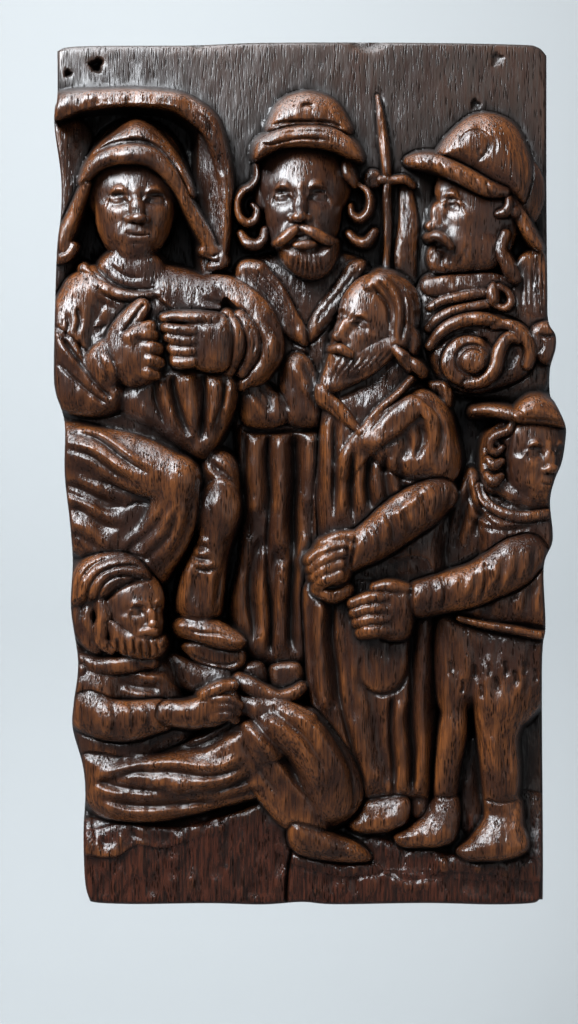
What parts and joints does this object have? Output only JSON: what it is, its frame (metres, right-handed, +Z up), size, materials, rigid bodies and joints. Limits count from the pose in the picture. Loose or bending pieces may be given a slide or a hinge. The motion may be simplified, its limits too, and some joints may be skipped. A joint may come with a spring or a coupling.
{
  "type": "carved wall panel",
  "caption": "Upright oak panel carved in high relief with a crowd of standing and seated figures, on a plain ledge, flat at the back to hang on a wall.",
  "frame": {"origin": "on the flat back, midway between its top and its foot and midway across, where the panel rests against the wall", "axes": "+Z up, the carved front faces -Y, +X to the viewer's right"},
  "size_m": [0.2747, 0.0656, 0.4819],
  "materials": {
    "carved_oak": "dark stained and waxed oak, worn orange-brown on the raised parts"
  },
  "bodies": {
    "root": {"carved_panel": "carved_oak"}
  },
  "joints": []
}
